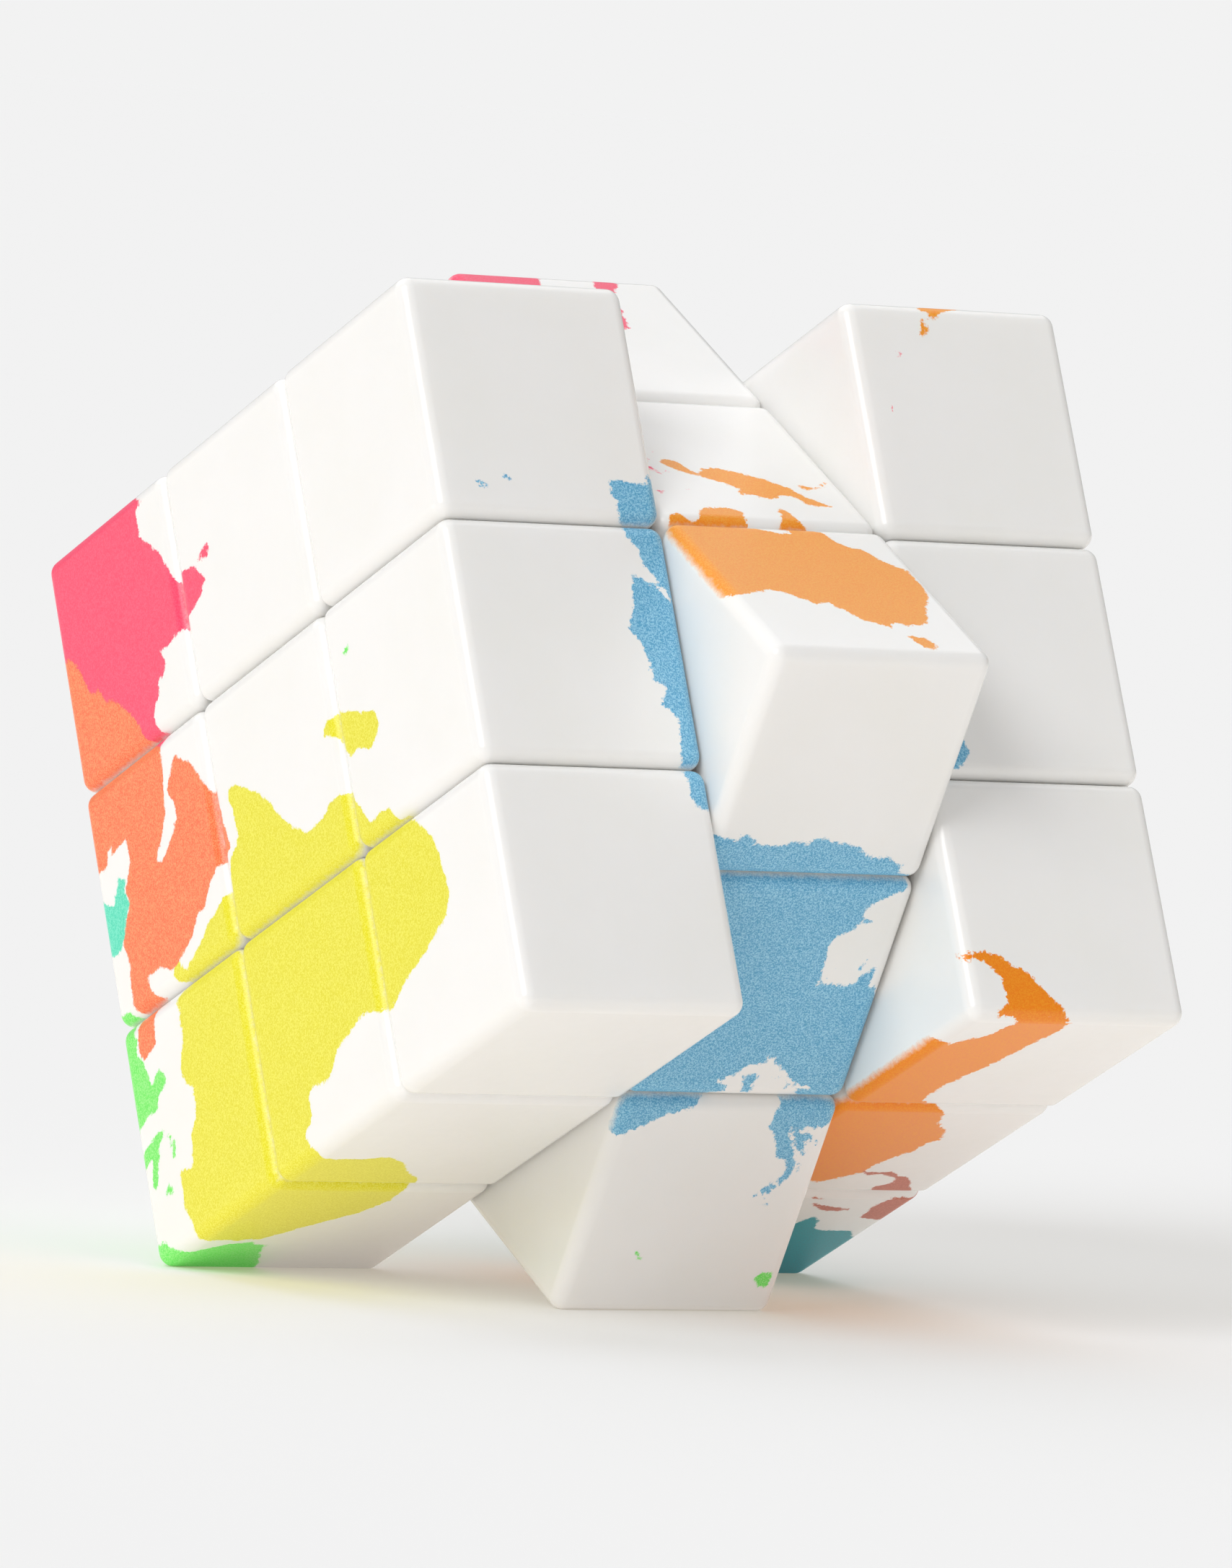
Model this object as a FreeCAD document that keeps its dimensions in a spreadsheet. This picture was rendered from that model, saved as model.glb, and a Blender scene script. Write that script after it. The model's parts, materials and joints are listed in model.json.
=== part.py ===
import FreeCAD, Part
import math
import os
import Sketcher

# A 3 x 3 x 3 twisty puzzle cube whose middle slice is turned part way.
#
# Every piece is modelled in the frame of the solved cube, whose centre is the origin.
# A corner cubie is drawn in the octant where x, y and z are positive, an edge cubie
# along X where y and z are positive, and a centre on +Z.  Each piece then gets a
# Placement that takes it to its own seat and turns it with its layer.
#
# Row frame: X is the axis that the three layers turn about, from the left layer to
# the right one, Y points to the back, Z up.  The origin is on the surface that the
# puzzle stands on, below its centre.
#
# The mechanism: each cubie is a hollow shell glued over a foot.  The feet lie inside
# a sphere about the centre and reach under their neighbours' shells, which holds them
# in.  The six centres hold the edges, the edges hold the corners, and each centre is
# held on an arm of the core by a screw and a spring.

Vector = FreeCAD.Vector

SIZES = [
    # alias, value in millimetres or degrees, note
    ("cubie_pitch", 19.0, "one cubie; the cube measures three of these"),
    ("cut_gap", 0.08, "gap between neighbouring cubies"),
    ("edge_round", 1.1, "rounding of every cubie's outer edges"),
    ("wall", 1.5, "wall of the hollow shells"),
    ("slice_turn", 52.08, "angle from the outer layers to the middle slice"),
    ("shell_bite", 20.1, "radius of the hollow that the feet run in"),
    ("foot_ball", 19.8, "radius of the feet's outer surface"),
    ("foot_plane", 6.5, "distance of the cuts between the feet from the centre"),
    ("foot_gap", 0.3, "gap between neighbouring feet"),
    ("corner_slot", 15.05, "size of the opening in a corner shell for its foot"),
    ("corner_block", 15.0, "outer end of the corner foot's stalk"),
    ("glue_gap", 0.02, "room between a foot's plug and its shell"),
    ("plug_end", 17.6, "outer end of a foot's plug inside its shell"),
    ("cap_base", 20.0, "height at which a centre's cap starts"),
    ("plug_root", 1.0, "how far a centre's plug is rooted in its flange"),
    ("flange_base", 14.9, "height at which a centre's flange starts"),
    ("post_base", 9.0, "height at which a centre's post starts"),
    ("block_top", 24.0, "height of the block inside a centre's cap"),
    ("arm_end", 13.0, "length of a core arm from the centre"),
    ("arm_round", 3.5, "radius of a core arm"),
    ("arm_play", 0.08, "radial running clearance of a centre on its arm"),
    ("floor_base", 13.05, "underside of the floor that the spring presses on"),
    ("floor_top", 14.6, "top of that floor"),
    ("well_round", 4.2, "radius of the well for spring and screw head"),
    ("hub_round", 8.5, "radius of the core's ball"),
    ("screw_round", 1.3, "radius of a screw's shank"),
    ("screw_play", 0.05, "radial clearance of the shank in core and floor"),
    ("screw_tip", 6.6, "height of a screw's tip"),
    ("tip_room", 0.2, "room in the core below a screw's tip"),
    ("head_base", 21.15, "underside of a screw's head"),
    ("head_top", 23.3, "top of a screw's head"),
    ("head_round", 3.3, "radius of a screw's head"),
    ("recess_long", 3.4, "length of the cross recess in a head"),
    ("recess_wide", 0.7, "width of the cross recess"),
    ("recess_deep", 1.1, "depth of the cross recess"),
    ("washer_thick", 0.5, "thickness of the washer under a head"),
    ("washer_round", 3.9, "radius of a washer"),
    ("washer_bore", 1.5, "radius of a washer's hole"),
    ("spring_base", 15.05, "lower end of a spring, at the centre's full float"),
    ("spring_high", 5.1, "rise of a spring's wire from end to end"),
    ("spring_pitch", 1.275, "pitch of a spring's coils"),
    ("spring_round", 2.8, "mean radius of a spring's coils"),
    ("wire_round", 0.28, "radius of a spring's wire"),
]

# Lengths made from the driving sizes, as expressions for the features.
OUTER = "Sizes.cubie_pitch * 1.5"
NEAR = "Sizes.cubie_pitch / 2 + Sizes.cut_gap / 2"
SIDE = "Sizes.cubie_pitch / 2 - Sizes.cut_gap / 2"
HOLLOW_NEAR = NEAR + " + Sizes.wall"
HOLLOW_FAR = OUTER + " - Sizes.wall"
HOLLOW_SIDE = SIDE + " - Sizes.wall"
PLUG_NEAR = HOLLOW_NEAR + " + Sizes.glue_gap"
PLUG_SIDE = HOLLOW_SIDE + " - Sizes.glue_gap"
FOOT_NEAR = "Sizes.foot_plane + Sizes.foot_gap / 2"
FOOT_SIDE = "Sizes.foot_plane - Sizes.foot_gap / 2"

AXES = {"X": Vector(1, 0, 0), "Y": Vector(0, 1, 0), "Z": Vector(0, 0, 1)}
FACES = {
    ("X", -1): "left",
    ("X", 1): "right",
    ("Y", -1): "front",
    ("Y", 1): "back",
    ("Z", -1): "bottom",
    ("Z", 1): "top",
}

doc = FreeCAD.newDocument("puzzle_cube")
sheet = doc.addObject("Spreadsheet::Sheet", "Sizes")
for number, (alias, value, note) in enumerate(SIZES, start=1):
    sheet.set(f"A{number}", alias)
    sheet.set(f"B{number}", str(value))
    sheet.set(f"C{number}", note)
    sheet.setAlias(f"B{number}", alias)
doc.recompute()

pieces = []


def keep(item, label, placement):
    """Name a finished piece, put it in its place and list it for writing."""
    item.Label = label
    item.Placement = placement
    pieces.append(item)


# ---------------------------------------------------------------- sketches


def origin_plane(body, role):
    return next(item for item in body.Origin.OriginFeatures if item.Role == role)


def new_sketch(body, name, role="XY_Plane", offset=None):
    """A sketch on one of the body's origin planes, moved along its normal by offset."""
    sketch = body.newObject("Sketcher::SketchObject", name)
    sketch.AttachmentSupport = [(origin_plane(body, role), "")]
    sketch.MapMode = "FlatFace"
    if offset:
        sketch.setExpression("AttachmentOffset.Base.z", offset)
    return sketch


def bind(sketch, constraint, name, expression):
    """Add a driving constraint and tie it to an expression."""
    index = sketch.addConstraint(constraint)
    sketch.renameConstraint(index, name)
    sketch.setExpression(f"Constraints.{name}", expression)


def draw_rectangle(sketch, left, right, low, high):
    """A rectangle whose four sides lie at the given expressions."""
    points = [Vector(1, 1, 0), Vector(2, 1, 0), Vector(2, 2, 0), Vector(1, 2, 0)]
    lines = []
    for start, end in zip(points, points[1:] + points[:1]):
        lines.append(sketch.addGeometry(Part.LineSegment(start, end), False))
    for line, following in zip(lines, lines[1:] + lines[:1]):
        sketch.addConstraint(Sketcher.Constraint("Coincident", line, 2, following, 1))
    for line, direction in zip(lines, ("Horizontal", "Vertical") * 2):
        sketch.addConstraint(Sketcher.Constraint(direction, line))
    origin = (-1, 1)
    first, opposite = (lines[0], 1), (lines[2], 1)
    bind(sketch, Sketcher.Constraint("DistanceX", *origin, *first, 1.0), "left_side", left)
    bind(sketch, Sketcher.Constraint("DistanceY", *origin, *first, 1.0), "low_side", low)
    bind(sketch, Sketcher.Constraint("DistanceX", *origin, *opposite, 2.0), "right_side", right)
    bind(sketch, Sketcher.Constraint("DistanceY", *origin, *opposite, 2.0), "high_side", high)


def draw_square(sketch, half):
    draw_rectangle(sketch, f"-({half})", half, f"-({half})", half)


def draw_circle(sketch, radius, name="radius"):
    circle = sketch.addGeometry(Part.Circle(Vector(0, 0, 0), Vector(0, 0, 1), 2.0), False)
    sketch.addConstraint(Sketcher.Constraint("Coincident", circle, 3, -1, 1))
    bind(sketch, Sketcher.Constraint("Radius", circle, 2.0), name, radius)


def draw_half_disc(sketch, radius):
    """The half disc that sweeps out a ball about the sketch's vertical axis."""
    half_turn = Part.Circle(Vector(0, 0, 0), Vector(0, 0, 1), 10.0)
    arc = sketch.addGeometry(Part.ArcOfCircle(half_turn, -math.pi / 2, math.pi / 2), False)
    line = sketch.addGeometry(Part.LineSegment(Vector(0, 10, 0), Vector(0, -10, 0)), False)
    sketch.addConstraint(Sketcher.Constraint("Coincident", arc, 3, -1, 1))
    sketch.addConstraint(Sketcher.Constraint("Coincident", arc, 2, line, 1))
    sketch.addConstraint(Sketcher.Constraint("Coincident", arc, 1, line, 2))
    sketch.addConstraint(Sketcher.Constraint("PointOnObject", arc, 1, -2))
    sketch.addConstraint(Sketcher.Constraint("PointOnObject", arc, 2, -2))
    bind(sketch, Sketcher.Constraint("Radius", arc, 10.0), "radius", radius)


# ---------------------------------------------------------------- features


def pad(body, sketch, length):
    feature = body.newObject("PartDesign::Pad", "Pad")
    feature.Profile = sketch
    feature.setExpression("Length", length)
    return feature


def pocket(body, sketch, length, along_normal=True):
    """Cut a prism from the sketch along its normal, or against it."""
    feature = body.newObject("PartDesign::Pocket", "Pocket")
    feature.Profile = sketch
    feature.Reversed = along_normal
    feature.setExpression("Length", length)
    return feature


def revolve(body, sketch, kind):
    feature = body.newObject(kind, "Turned")
    feature.Profile = sketch
    feature.ReferenceAxis = (sketch, ["V_Axis"])
    feature.Angle = 360.0
    return feature


def round_edges(body, base, edges):
    feature = body.newObject("PartDesign::Fillet", "Round")
    feature.Base = (base, edges)
    feature.setExpression("Radius", "Sizes.edge_round")
    return feature


def all_edges(feature):
    return [f"Edge{number}" for number in range(1, len(feature.Shape.Edges) + 1)]


def cut_ball(body, radius):
    sketch = new_sketch(body, "Ball", "XZ_Plane")
    draw_half_disc(sketch, radius)
    return revolve(body, sketch, "PartDesign::Groove")


# ---------------------------------------------------------------- shells


def corner_shell(label, placement):
    """A hollow cube with rounded edges, open at its inmost corner for the foot."""
    body = doc.addObject("PartDesign::Body", "CornerShell")
    outline = new_sketch(body, "Outline", offset=NEAR)
    draw_rectangle(outline, NEAR, OUTER, NEAR, OUTER)
    block = pad(body, outline, f"({OUTER}) - ({NEAR})")
    doc.recompute()
    round_edges(body, block, all_edges(block))
    inside = new_sketch(body, "Inside", offset=HOLLOW_NEAR)
    draw_rectangle(inside, HOLLOW_NEAR, HOLLOW_FAR, HOLLOW_NEAR, HOLLOW_FAR)
    pocket(body, inside, f"({HOLLOW_FAR}) - ({HOLLOW_NEAR})")
    slot = new_sketch(body, "Slot")
    draw_rectangle(slot, "Sizes.cut_gap", "Sizes.corner_slot", "Sizes.cut_gap", "Sizes.corner_slot")
    pocket(body, slot, "Sizes.corner_slot")
    keep(body, label, placement)


def edge_shell(label, placement):
    """A hollow cube with rounded edges, hollowed by the ball that the feet run in."""
    body = doc.addObject("PartDesign::Body", "EdgeShell")
    outline = new_sketch(body, "Outline", offset=NEAR)
    draw_rectangle(outline, f"-({SIDE})", SIDE, NEAR, OUTER)
    block = pad(body, outline, f"({OUTER}) - ({NEAR})")
    doc.recompute()
    round_edges(body, block, all_edges(block))
    inside = new_sketch(body, "Inside", offset=HOLLOW_NEAR)
    draw_rectangle(inside, f"-({HOLLOW_SIDE})", HOLLOW_SIDE, HOLLOW_NEAR, HOLLOW_FAR)
    pocket(body, inside, f"({HOLLOW_FAR}) - ({HOLLOW_NEAR})")
    cut_ball(body, "Sizes.shell_bite")
    keep(body, label, placement)


def centre_cap(label, placement):
    """The square cap that snaps over a centre and hides its screw."""
    body = doc.addObject("PartDesign::Body", "CentreCap")
    outline = new_sketch(body, "Outline", offset="Sizes.cap_base")
    draw_square(outline, SIDE)
    block = pad(body, outline, f"({OUTER}) - Sizes.cap_base")
    doc.recompute()
    middle = block.Shape.BoundBox.Center.z
    rounded = []
    for number, edge in enumerate(block.Shape.Edges, start=1):
        if edge.BoundBox.ZMax > middle:
            rounded.append(f"Edge{number}")
    round_edges(body, block, rounded)
    inside = new_sketch(body, "Inside", offset="Sizes.cap_base")
    draw_square(inside, HOLLOW_SIDE)
    pocket(body, inside, f"({HOLLOW_FAR}) - Sizes.cap_base")
    keep(body, label, placement)


def centre_body(label, placement):
    """The piece that turns on a core arm: a flange over the edge feet, and a square post."""
    body = doc.addObject("PartDesign::Body", "CentreBody")
    flange = new_sketch(body, "Flange", offset="Sizes.flange_base")
    draw_square(flange, SIDE)
    pad(body, flange, "Sizes.cap_base - Sizes.glue_gap - Sizes.flange_base")
    cut_ball(body, "Sizes.shell_bite")
    block = new_sketch(body, "Block", offset="Sizes.cap_base - Sizes.plug_root")
    draw_square(block, PLUG_SIDE)
    pad(body, block, "Sizes.block_top - Sizes.cap_base + Sizes.plug_root")
    post = new_sketch(body, "Post", offset="Sizes.post_base")
    draw_square(post, FOOT_SIDE)
    pad(body, post, "Sizes.cap_base - Sizes.post_base")
    bore = new_sketch(body, "Bore", offset="Sizes.post_base")
    draw_circle(bore, "Sizes.arm_round + Sizes.arm_play")
    pocket(body, bore, "Sizes.floor_base - Sizes.post_base")
    hole = new_sketch(body, "ScrewHole", offset="Sizes.floor_base")
    draw_circle(hole, "Sizes.screw_round + Sizes.screw_play")
    pocket(body, hole, "Sizes.floor_top - Sizes.floor_base")
    well = new_sketch(body, "Well", offset="Sizes.floor_top")
    draw_circle(well, "Sizes.well_round")
    pocket(body, well, "Sizes.block_top - Sizes.floor_top")
    keep(body, label, placement)


# ---------------------------------------------------------------- feet


def box(low, high):
    """A Part box from one corner to the other, each given as three expressions."""
    item = doc.addObject("Part::Box", "FootBox")
    for side, edge, start, end in zip(("Length", "Width", "Height"), "xyz", low, high):
        item.setExpression(side, f"({end}) - ({start})")
        item.setExpression(f"Placement.Base.{edge}", start)
    return item


def foot_in_ball(low, high):
    """The part of a foot that lies in the ball: a box trimmed by the ball."""
    ball = doc.addObject("Part::Sphere", "FootBall")
    ball.setExpression("Radius", "Sizes.foot_ball")
    common = doc.addObject("Part::Common", "FootHead")
    common.Base = box(low, high)
    common.Tool = ball
    return common


def corner_foot(label, placement):
    head = foot_in_ball([FOOT_NEAR] * 3, ["Sizes.foot_ball"] * 3)
    stalk = box([NEAR] * 3, ["Sizes.corner_block"] * 3)
    plug = box([PLUG_NEAR] * 3, ["Sizes.plug_end"] * 3)
    foot = doc.addObject("Part::MultiFuse", "CornerFoot")
    foot.Shapes = [head, stalk, plug]
    keep(foot, label, placement)


def edge_foot(label, placement):
    head = foot_in_ball(
        [f"-({FOOT_SIDE})", FOOT_NEAR, FOOT_NEAR],
        [FOOT_SIDE, "Sizes.foot_ball", "Sizes.foot_ball"],
    )
    plug = box(
        [f"-({FOOT_SIDE})", PLUG_NEAR, PLUG_NEAR],
        [FOOT_SIDE, "Sizes.plug_end", "Sizes.plug_end"],
    )
    foot = doc.addObject("Part::MultiFuse", "EdgeFoot")
    foot.Shapes = [head, plug]
    keep(foot, label, placement)


# ---------------------------------------------------------------- core and fasteners


def core(label, placement):
    """A ball with six arms, each with a blind hole for its screw."""
    body = doc.addObject("PartDesign::Body", "Core")
    ball = new_sketch(body, "Hub", "XZ_Plane")
    draw_half_disc(ball, "Sizes.hub_round")
    revolve(body, ball, "PartDesign::Revolution")
    roles = ("XY_Plane", "XZ_Plane", "YZ_Plane")
    for role in roles:
        arms = new_sketch(body, "Arms", role, "-Sizes.arm_end")
        draw_circle(arms, "Sizes.arm_round")
        pad(body, arms, "Sizes.arm_end * 2")
    for role in roles:
        for end, inward in (("Sizes.arm_end", False), ("-Sizes.arm_end", True)):
            hole = new_sketch(body, "ScrewHole", role, end)
            draw_circle(hole, "Sizes.screw_round + Sizes.screw_play")
            pocket(body, hole, "Sizes.arm_end - Sizes.screw_tip + Sizes.tip_room", inward)
    keep(body, label, placement)


def screw():
    """One screw on the +Z arm: shank, head and cross recess."""
    body = doc.addObject("PartDesign::Body", "Screw")
    shank = new_sketch(body, "Shank", offset="Sizes.screw_tip")
    draw_circle(shank, "Sizes.screw_round")
    pad(body, shank, "Sizes.head_base - Sizes.screw_tip")
    head = new_sketch(body, "Head", offset="Sizes.head_base")
    draw_circle(head, "Sizes.head_round")
    pad(body, head, "Sizes.head_top - Sizes.head_base")
    for long_side, short_side in (("recess_long", "recess_wide"), ("recess_wide", "recess_long")):
        slot = new_sketch(body, "Recess", offset="Sizes.head_top")
        half_long = f"Sizes.{long_side} / 2"
        half_short = f"Sizes.{short_side} / 2"
        draw_rectangle(slot, f"-{half_long}", half_long, f"-{half_short}", half_short)
        pocket(body, slot, "Sizes.recess_deep", along_normal=False)
    return body


def washer():
    """One washer under the head of the screw on the +Z arm."""
    body = doc.addObject("PartDesign::Body", "Washer")
    ring = new_sketch(body, "Ring", offset="Sizes.head_base - Sizes.washer_thick")
    draw_circle(ring, "Sizes.washer_round", "outside")
    draw_circle(ring, "Sizes.washer_bore", "bore")
    pad(body, ring, "Sizes.washer_thick")
    return body


def spring():
    """One spring on the +Z arm: round wire wound about the screw."""
    body = doc.addObject("PartDesign::Body", "Spring")
    wire = new_sketch(body, "Wire", "XZ_Plane")
    circle = wire.addGeometry(Part.Circle(Vector(2, 10, 0), Vector(0, 0, 1), 0.5), False)
    bind(wire, Sketcher.Constraint("Radius", circle, 0.5), "wire", "Sizes.wire_round")
    across = Sketcher.Constraint("DistanceX", -1, 1, circle, 3, 2.0)
    bind(wire, across, "coil", "Sizes.spring_round")
    up = Sketcher.Constraint("DistanceY", -1, 1, circle, 3, 10.0)
    bind(wire, up, "start", "Sizes.spring_base + Sizes.wire_round")
    helix = body.newObject("PartDesign::AdditiveHelix", "Coils")
    helix.Profile = wire
    helix.ReferenceAxis = (wire, ["V_Axis"])
    helix.Mode = "pitch-height-angle"
    helix.setExpression("Pitch", "Sizes.spring_pitch")
    helix.setExpression("Height", "Sizes.spring_high - Sizes.wire_round * 2")
    return body


def six_of(body, label, placements):
    """One node that holds a copy of the body on each of the six arms."""
    copies = []
    for placement in placements:
        link = doc.addObject("App::Link", "Copy")
        link.LinkedObject = body
        link.Placement = placement
        copies.append(link)
    group = doc.addObject("Part::Compound", "Group")
    group.Links = copies
    keep(group, label, FreeCAD.Placement())


# ---------------------------------------------------------------- seats


def turn_from_axes(first, second, third):
    """The rotation that takes X, Y and Z to three given directions."""
    matrix = FreeCAD.Matrix(
        first.x, second.x, third.x, 0,
        first.y, second.y, third.y, 0,
        first.z, second.z, third.z, 0,
        0, 0, 0, 1,
    )
    return FreeCAD.Placement(matrix)


def corner_seat(signs):
    """Take the drawn corner to the octant with the given signs."""
    first, second, third = (AXES[name] * sign for name, sign in zip("XYZ", signs))
    if signs[0] * signs[1] * signs[2] < 0:
        first, second = second, first
    return turn_from_axes(first, second, third)


def edge_seat(run, second_sign, third_sign):
    """Take the drawn edge, which runs along X, to one that runs along the named axis."""
    order = "XYZ"
    start = order.index(run)
    second = AXES[order[(start + 1) % 3]] * second_sign
    third = AXES[order[(start + 2) % 3]] * third_sign
    return turn_from_axes(second.cross(third), second, third)


def centre_seat(axis, sign):
    """Take the drawn centre, which faces +Z, to the named face."""
    order = "XYZ"
    third = AXES[axis] * sign
    first = AXES[order[(order.index(axis) + 1) % 3]]
    return turn_from_axes(first, third.cross(first), third)


half_turn = sheet.slice_turn / 2
half_right_angle = 45
flat_corner = sheet.cubie_pitch * 1.5 - sheet.edge_round
lean = FreeCAD.Rotation(AXES["X"], half_right_angle - half_turn)
centre_height = lean.multVec(Vector(0, flat_corner, flat_corner)).Length
centre_height = centre_height * lean.multVec(AXES["Z"]).z + sheet.edge_round
centre_point = Vector(0, 0, centre_height)
layer_seat = FreeCAD.Placement(centre_point, FreeCAD.Rotation(AXES["X"], -half_turn))
slice_seat = FreeCAD.Placement(centre_point, FreeCAD.Rotation(AXES["X"], half_turn))


def seat_for(x_side):
    """The outer layers lean back by half the turn, the middle slice forward by half."""
    return layer_seat if x_side else slice_seat


# ---------------------------------------------------------------- assembly

for x_sign in (-1, 1):
    for y_sign in (-1, 1):
        for z_sign in (-1, 1):
            faces = [FACES["X", x_sign], FACES["Y", y_sign], FACES["Z", z_sign]]
            name = "corner_" + "_".join(faces)
            place = seat_for(x_sign) * corner_seat((x_sign, y_sign, z_sign))
            corner_shell(name + "_shell", place)
            corner_foot(name + "_foot", place)

for run, second_axis, third_axis in (("X", "Y", "Z"), ("Y", "Z", "X"), ("Z", "X", "Y")):
    for second_sign in (-1, 1):
        for third_sign in (-1, 1):
            sides = {second_axis: second_sign, third_axis: third_sign}
            faces = [FACES[axis, sides[axis]] for axis in "XYZ" if axis in sides]
            name = "edge_" + "_".join(faces)
            place = seat_for(sides.get("X", 0)) * edge_seat(run, second_sign, third_sign)
            edge_shell(name + "_shell", place)
            edge_foot(name + "_foot", place)

arm_places = []
for (axis, sign), face in FACES.items():
    place = seat_for(sign if axis == "X" else 0) * centre_seat(axis, sign)
    centre_cap(f"centre_{face}_cap", place)
    centre_body(f"centre_{face}_body", place)
    arm_places.append(slice_seat * centre_seat(axis, sign))

core("core", slice_seat)
six_of(screw(), "centre_screws", arm_places)
six_of(washer(), "centre_washers", arm_places)
six_of(spring(), "centre_springs", arm_places)

doc.recompute()

# ---------------------------------------------------------------- checks and files

least_cut = 0.1  # cubic millimetres
for item in doc.Objects:
    if "Invalid" in item.State or "Error" in item.State:
        raise RuntimeError(f"{item.Label}: {item.State}")
    if item.TypeId in ("PartDesign::Pocket", "PartDesign::Groove"):
        if item.Shape.Volume > item.BaseFeature.Shape.Volume - least_cut:
            raise RuntimeError(f"{item.Label} cuts nothing")

os.makedirs("parts", exist_ok=True)
for piece in pieces:
    shape = piece.Shape
    if shape.isNull() or not shape.isValid():
        raise RuntimeError(f"{piece.Label}: bad shape")
    shape.exportStep(f"parts/{piece.Label}.step")
print(len(pieces), "pieces, centre height", round(centre_height, 4))
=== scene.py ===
import itertools
import json
import math

import bmesh
import bpy
import numpy as np
from mathutils import Matrix, Vector


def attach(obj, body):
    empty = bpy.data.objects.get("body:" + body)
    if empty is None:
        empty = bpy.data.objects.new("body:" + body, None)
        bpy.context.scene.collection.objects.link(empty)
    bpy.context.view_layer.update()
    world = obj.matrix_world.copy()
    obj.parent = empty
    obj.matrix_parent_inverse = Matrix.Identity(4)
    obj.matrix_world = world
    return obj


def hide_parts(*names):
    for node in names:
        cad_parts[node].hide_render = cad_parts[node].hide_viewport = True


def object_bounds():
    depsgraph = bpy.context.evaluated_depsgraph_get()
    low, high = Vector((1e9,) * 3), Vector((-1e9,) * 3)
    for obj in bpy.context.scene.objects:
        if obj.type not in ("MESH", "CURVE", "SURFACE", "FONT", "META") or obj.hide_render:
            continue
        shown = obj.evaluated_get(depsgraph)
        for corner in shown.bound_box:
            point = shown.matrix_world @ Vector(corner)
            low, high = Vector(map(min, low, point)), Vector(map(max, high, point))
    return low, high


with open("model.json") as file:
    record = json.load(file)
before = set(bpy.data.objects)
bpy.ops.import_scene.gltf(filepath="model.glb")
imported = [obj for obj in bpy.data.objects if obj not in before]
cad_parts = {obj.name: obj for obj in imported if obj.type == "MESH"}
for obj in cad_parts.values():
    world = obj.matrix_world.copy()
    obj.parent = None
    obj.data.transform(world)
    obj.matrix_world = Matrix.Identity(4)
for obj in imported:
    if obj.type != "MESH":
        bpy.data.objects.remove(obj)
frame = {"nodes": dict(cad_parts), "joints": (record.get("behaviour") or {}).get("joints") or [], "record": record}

cad_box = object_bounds()

# A 3 x 3 x 3 twisty puzzle with a world map printed round it, as one map on the solved cube.
# The shells and caps are built here, because each carries its own piece of the map;
# the feet, core, centres, screws, washers and springs are the CAD nodes.
#
# Sizes are in millimetres and in the frame of the solved cube, centre at the origin,
# until a piece is placed.  The same numbers as in the CAD part:
OUTER = 28.5            # cube's half size
NEAR = 9.54             # where the outer cubies start
SIDE = 9.46             # half width of the cubies between them
WALL = 1.5              # thickness of shells and caps
ROUND = 1.1             # rounding of a cubie's edges
CORNER_SLOT = 15.05     # opening in a corner shell for its foot
SHELL_BITE = 20.1       # ball that the feet run in
CAP_BASE = 20.0         # underside of a centre cap
MM = 0.001

FILLET_STEPS = 4        # strips in half of a rounded edge
CELL = 0.4              # spacing of the mesh on a printed face
BALL_STEPS = 6          # times that the ball's mesh is divided
CREASE = 30             # edges sharper than this stay crisp, degrees
BEYOND = 1.0            # how far a cutting tool runs past the open side

# ---------------------------------------------------------------- the frame

front_axis = next(j["axis"] for j in frame["joints"] if j["name"] == "front_centre_float")
LEAN = math.atan2(-front_axis[2], -front_axis[1])
centre_height = (cad_box[0].z + cad_box[1].z) / 2
LIFT = Matrix.Translation((0, 0, centre_height)) @ Matrix.Scale(MM, 4)
SEAT = {
    "middle": LIFT @ Matrix.Rotation(LEAN, 4, "X"),
    "outer": LIFT @ Matrix.Rotation(-LEAN, 4, "X"),
}
NAMES = {0: ("left", "right"), 1: ("front", "back"), 2: ("bottom", "top")}


def face_name(axis, sign):
    return NAMES[axis][sign > 0]


# ---------------------------------------------------------------- the map
# Outlines of the land, as (longitude, latitude).  The left face looks at 45 E, the top
# at 135 E, the bottom at 45 W; the front holds the south pole and the back the north.

LEFT_MERIDIAN = 45
FAR = 4.0               # coast distances are kept up to this many millimetres

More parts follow.
